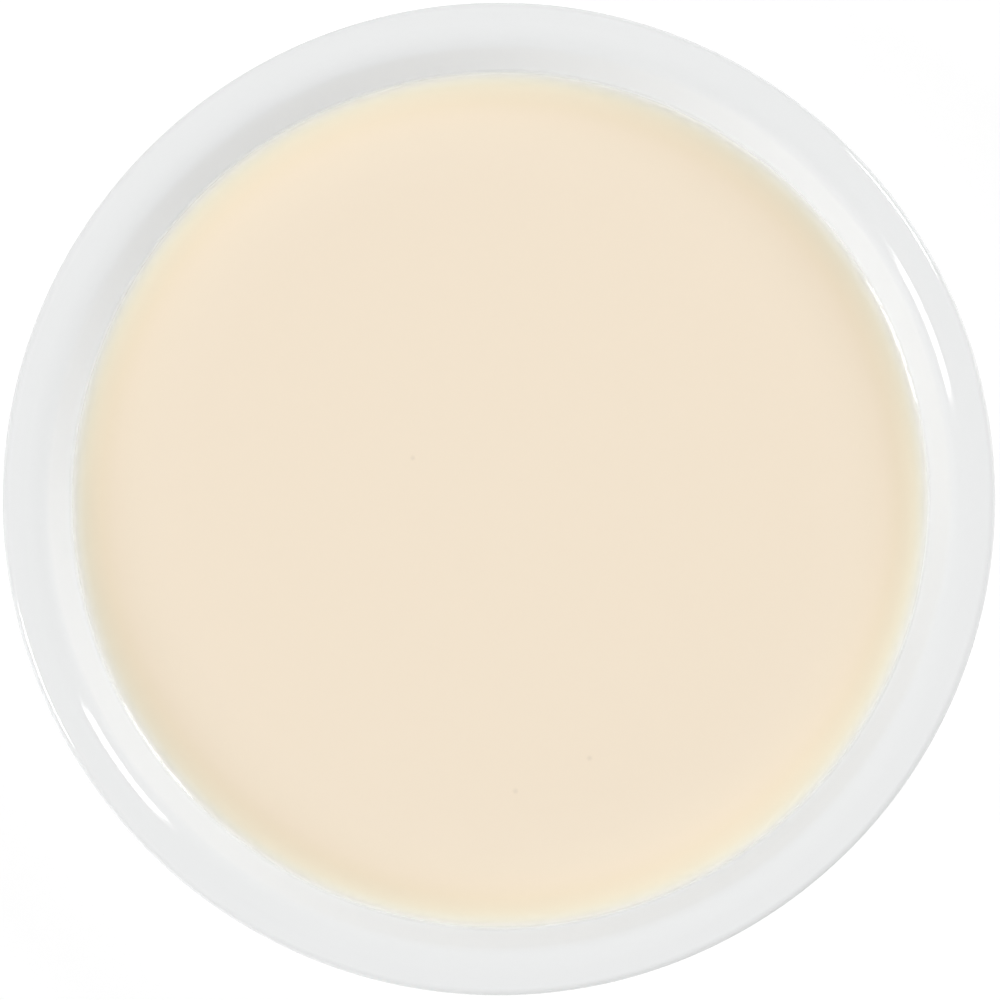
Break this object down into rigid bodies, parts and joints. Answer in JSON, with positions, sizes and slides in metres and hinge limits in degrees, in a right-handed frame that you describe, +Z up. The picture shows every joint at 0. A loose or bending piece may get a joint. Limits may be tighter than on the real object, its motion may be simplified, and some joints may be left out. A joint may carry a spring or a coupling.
{
  "type": "dish of soy milk",
  "caption": "Shallow round white porcelain dish with a thick rounded lip, filled with cream-coloured soy milk to a little below the lip.",
  "frame": {"origin": "centre of the foot ring, on the surface that the dish stands on", "axes": "+Z up along the axis that the dish is turned about; the dish is round, so +X and +Y are any level pair"},
  "size_m": [0.12, 0.12, 0.03],
  "materials": {
    "porcelain": "clear gloss glaze over white porcelain, bare only on the foot ring's standing edge",
    "soy_milk": "still, wet, opaque cream-coloured liquid, thinner and paler at its edge"
  },
  "bodies": {
    "root": {"dish": "porcelain", "soy_milk": "soy_milk"}
  },
  "joints": []
}
